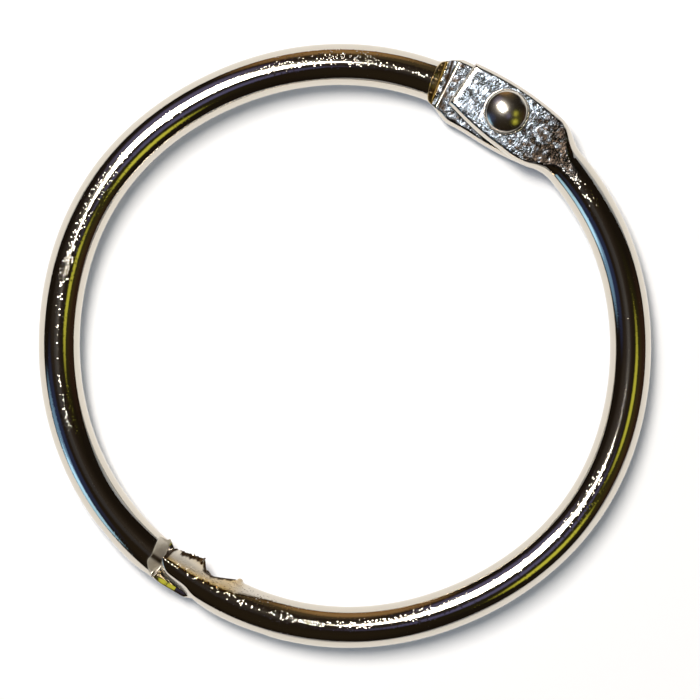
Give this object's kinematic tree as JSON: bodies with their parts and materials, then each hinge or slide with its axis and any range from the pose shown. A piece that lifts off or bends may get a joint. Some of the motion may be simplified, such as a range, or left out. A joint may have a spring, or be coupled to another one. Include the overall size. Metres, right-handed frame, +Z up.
{
  "type": "binder ring",
  "caption": "Hinged loose-leaf binder ring: two half rings of round steel wire with flattened, riveted ends and a half-lap snap catch.",
  "frame": {"origin": "middle of the ring's length and width, on the surface it lies on, which is the underside of the rivet's set tail", "axes": "+Z up, square to the ring; +Y from the catch to the hinge; +X towards the half that turns"},
  "size_m": [0.0445, 0.0444, 0.0045],
  "materials": {
    "lower_half": "bright nickel plate on steel wire",
    "upper_half": "bright nickel plate on steel wire",
    "rivet": "bright nickel plate on steel"
  },
  "bodies": {
    "lower_half": {"lower_half_ring": "lower_half", "hinge_rivet": "rivet"},
    "upper_half": {"upper_half_ring": "upper_half"}
  },
  "joints": [
    {"name": "ring_hinge", "type": "hinge", "parent": "lower_half", "child": "upper_half", "pos_m": [0, 0.02014, 0.00198], "axis": [0, 0, 1], "range_deg": [0, 165]}
  ]
}
